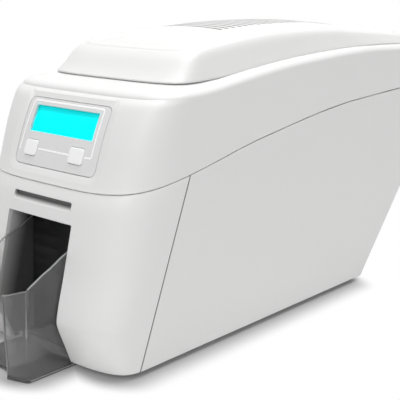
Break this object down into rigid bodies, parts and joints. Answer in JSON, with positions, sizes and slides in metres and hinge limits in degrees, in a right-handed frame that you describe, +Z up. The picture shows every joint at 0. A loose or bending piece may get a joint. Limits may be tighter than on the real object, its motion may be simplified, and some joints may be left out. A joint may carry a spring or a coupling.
{
  "type": "id card printer",
  "caption": "Desktop card printer with a hinged hood, a sloping display panel with two buttons, a hand-feed slot and a sliding bin for finished cards.",
  "frame": {"origin": "centre of the footprint, on the table under the feet", "axes": "+X across to the printer's left-hand side seen from behind, +Y towards the rear, +Z up; the front panel faces -Y"},
  "size_m": [0.1584, 0.4518, 0.2188],
  "materials": {
    "white_shell": "fine matte white",
    "side_shell": "matte off-white",
    "grey_panel": "satin pale grey",
    "key_grey": "satin near white",
    "screen_glass": "clear",
    "screen": "lit cyan",
    "black_plastic": "fine matte black",
    "smoke": "clear smoked",
    "dark_plastic": "matte dark grey",
    "ivory_plastic": "natural moulded",
    "rubber_black": "matte",
    "roller_rubber": "ground rubber on steel",
    "plate_steel": "zinc-plated sheet",
    "screw_steel": "bright zinc",
    "motor_steel": "drawn can",
    "brass_gear": "machined",
    "head_alloy": "anodised",
    "pcb_green": "solder mask",
    "card_white": "gloss white",
    "spool_blue": "matte blue",
    "film": "gloss film",
    "port_metal": "plated",
    "frame_grey": "matte light grey"
  },
  "bodies": {
    "chassis": {"base_pan": "dark_plastic", "rubber_feet": "rubber_black", "front_cover": "white_shell", "side_panel_left": "side_shell", "side_panel_right": "side_shell", "upper_housing": "white_shell", "rear_panel": "side_shell", "case_screws": "screw_steel", "display_bezel": "grey_panel", "display_window": "screen_glass", "display_lcd": "screen", "control_board": "pcb_green", "slot_guide": "black_plastic", "stacker_bay": "black_plastic", "chassis_plate_left": "plate_steel", "chassis_plate_right": "plate_steel", "roller_bushings": "ivory_plastic", "card_guide": "dark_plastic", "feed_motor": "motor_steel", "card_hopper": "dark_plastic", "blank_cards": "card_white", "ribbon_cassette": "ivory_plastic", "ribbon_film": "film", "ribbon_motor": "motor_steel", "hinge_pins": "screw_steel", "main_board": "pcb_green", "port_board": "pcb_green", "dc_inlet": "black_plastic", "usb_socket": "port_metal", "ethernet_socket": "port_metal", "switch_body": "black_plastic"},
    "stacker": {"card_stacker": "smoke"},
    "key_left": {"button_left": "key_grey"},
    "key_right": {"button_right": "key_grey"},
    "weight": {"card_weight": "dark_plastic"},
    "lid": {"lid_hood": "white_shell", "lid_liner": "frame_grey", "printhead_carrier": "dark_plastic", "printhead": "head_alloy", "printhead_springs": "screw_steel"},
    "rocker": {"power_rocker": "black_plastic"},
    "motor_pinion": {"motor_pinion": "brass_gear"},
    "exit_roller": {"exit_roller": "roller_rubber"},
    "feed_roller": {"feed_roller": "roller_rubber"},
    "platen_roller": {"platen_roller": "roller_rubber"},
    "transport_roller": {"transport_roller": "roller_rubber"},
    "pick_roller": {"pick_roller": "roller_rubber"},
    "idler_front": {"idler_front": "ivory_plastic"},
    "idler_middle": {"idler_middle": "ivory_plastic"},
    "idler_rear": {"idler_rear": "ivory_plastic"},
    "idler_large": {"idler_large": "ivory_plastic"},
    "pinch_front": {"pinch_front": "roller_rubber"},
    "pinch_rear": {"pinch_rear": "roller_rubber"},
    "takeup_spool": {"takeup_spool": "spool_blue"},
    "supply_spool": {"supply_spool": "spool_blue"},
    "ribbon_pinion": {"ribbon_pinion": "brass_gear"}
  },
  "joints": [
    {"name": "lid_hinge", "type": "hinge", "parent": "chassis", "child": "lid", "pos_m": [0, 0.2095, 0.1989], "axis": [-1, 0, 0], "range_deg": [0, 62]},
    {"name": "key_left_press", "type": "slide", "parent": "chassis", "child": "key_left", "axis": [0, 0.9369, -0.3496], "range_m": [0, 0.0008], "stiffness_N_per_m": 500, "springref_m": -0.0008},
    {"name": "key_right_press", "type": "slide", "parent": "chassis", "child": "key_right", "axis": [0, 0.9369, -0.3496], "range_m": [0, 0.0008], "stiffness_N_per_m": 500, "springref_m": -0.0008},
    {"name": "stacker_slide", "type": "slide", "parent": "chassis", "child": "stacker", "axis": [0, -1, 0], "range_m": [0, 0.04]},
    {"name": "weight_lift", "type": "slide", "parent": "chassis", "child": "weight", "axis": [0, 0, 1], "range_m": [0, 0.018]},
    {"name": "rocker_tilt", "type": "hinge", "parent": "chassis", "child": "rocker", "pos_m": [0.04, 0.11117, 0.0252], "axis": [0, 0.6521, 0.7581], "range_deg": [0, 12]},
    {"name": "motor_pinion_spin", "type": "hinge", "parent": "chassis", "child": "motor_pinion", "pos_m": [0, 0.022, 0.0837], "axis": [1, 0, 0], "continuous": true},
    {"name": "exit_roller_spin", "type": "hinge", "parent": "chassis", "child": "exit_roller", "pos_m": [0, -0.098, 0.1017], "axis": [1, 0, 0], "continuous": true},
    {"name": "feed_roller_spin", "type": "hinge", "parent": "chassis", "child": "feed_roller", "pos_m": [0, -0.05, 0.1017], "axis": [1, 0, 0], "continuous": true},
    {"name": "platen_roller_spin", "type": "hinge", "parent": "chassis", "child": "platen_roller", "pos_m": [0, -0.002, 0.1017], "axis": [1, 0, 0], "continuous": true},
    {"name": "transport_roller_spin", "type": "hinge", "parent": "chassis", "child": "transport_roller", "pos_m": [0, 0.046, 0.1017], "axis": [1, 0, 0], "continuous": true},
    {"name": "pick_roller_spin", "type": "hinge", "parent": "chassis", "child": "pick_roller", "pos_m": [0, 0.118, 0.1017], "axis": [1, 0, 0], "continuous": true},
    {"name": "idler_front_spin", "type": "hinge", "parent": "chassis", "child": "idler_front", "pos_m": [0, -0.074, 0.1017], "axis": [1, 0, 0], "continuous": true},
    {"name": "idler_middle_spin", "type": "hinge", "parent": "chassis", "child": "idler_middle", "pos_m": [0, -0.026, 0.1017], "axis": [1, 0, 0], "continuous": true},
    {"name": "idler_rear_spin", "type": "hinge", "parent": "chassis", "child": "idler_rear", "pos_m": [0, 0.022, 0.1017], "axis": [1, 0, 0], "continuous": true},
    {"name": "idler_large_spin", "type": "hinge", "parent": "chassis", "child": "idler_large", "pos_m": [0, 0.082, 0.1017], "axis": [1, 0, 0], "continuous": true},
    {"name": "pinch_front_spin", "type": "hinge", "parent": "chassis", "child": "pinch_front", "pos_m": [0, -0.05, 0.1136], "axis": [1, 0, 0], "continuous": true},
    {"name": "pinch_rear_spin", "type": "hinge", "parent": "chassis", "child": "pinch_rear", "pos_m": [0, 0.046, 0.1136], "axis": [1, 0, 0], "continuous": true},
    {"name": "takeup_spool_spin", "type": "hinge", "parent": "chassis", "child": "takeup_spool", "pos_m": [0, -0.07, 0.15], "axis": [1, 0, 0], "continuous": true},
    {"name": "supply_spool_spin", "type": "hinge", "parent": "chassis", "child": "supply_spool", "pos_m": [0, 0.066, 0.15], "axis": [1, 0, 0], "continuous": true},
    {"name": "ribbon_pinion_spin", "type": "hinge", "parent": "chassis", "child": "ribbon_pinion", "pos_m": [0, -0.08671, 0.13008], "axis": [1, 0, 0], "continuous": true}
  ],
  "couplings": [
    {"joint": "exit_roller_spin", "follows": "platen_roller_spin", "ratio": 1},
    {"joint": "feed_roller_spin", "follows": "platen_roller_spin", "ratio": 1},
    {"joint": "transport_roller_spin", "follows": "platen_roller_spin", "ratio": 1},
    {"joint": "pick_roller_spin", "follows": "platen_roller_spin", "ratio": 1},
    {"joint": "idler_front_spin", "follows": "platen_roller_spin", "ratio": -1},
    {"joint": "idler_middle_spin", "follows": "platen_roller_spin", "ratio": -1},
    {"joint": "idler_rear_spin", "follows": "platen_roller_spin", "ratio": -1},
    {"joint": "idler_large_spin", "follows": "platen_roller_spin", "ratio": -0.5},
    {"joint": "motor_pinion_spin", "follows": "platen_roller_spin", "ratio": 2},
    {"joint": "pinch_front_spin", "follows": "platen_roller_spin", "ratio": -1.2},
    {"joint": "pinch_rear_spin", "follows": "platen_roller_spin", "ratio": -1.2},
    {"joint": "ribbon_pinion_spin", "follows": "supply_spool_spin", "ratio": -5.1515},
    {"joint": "takeup_spool_spin", "follows": "supply_spool_spin", "ratio": 1.5455}
  ]
}
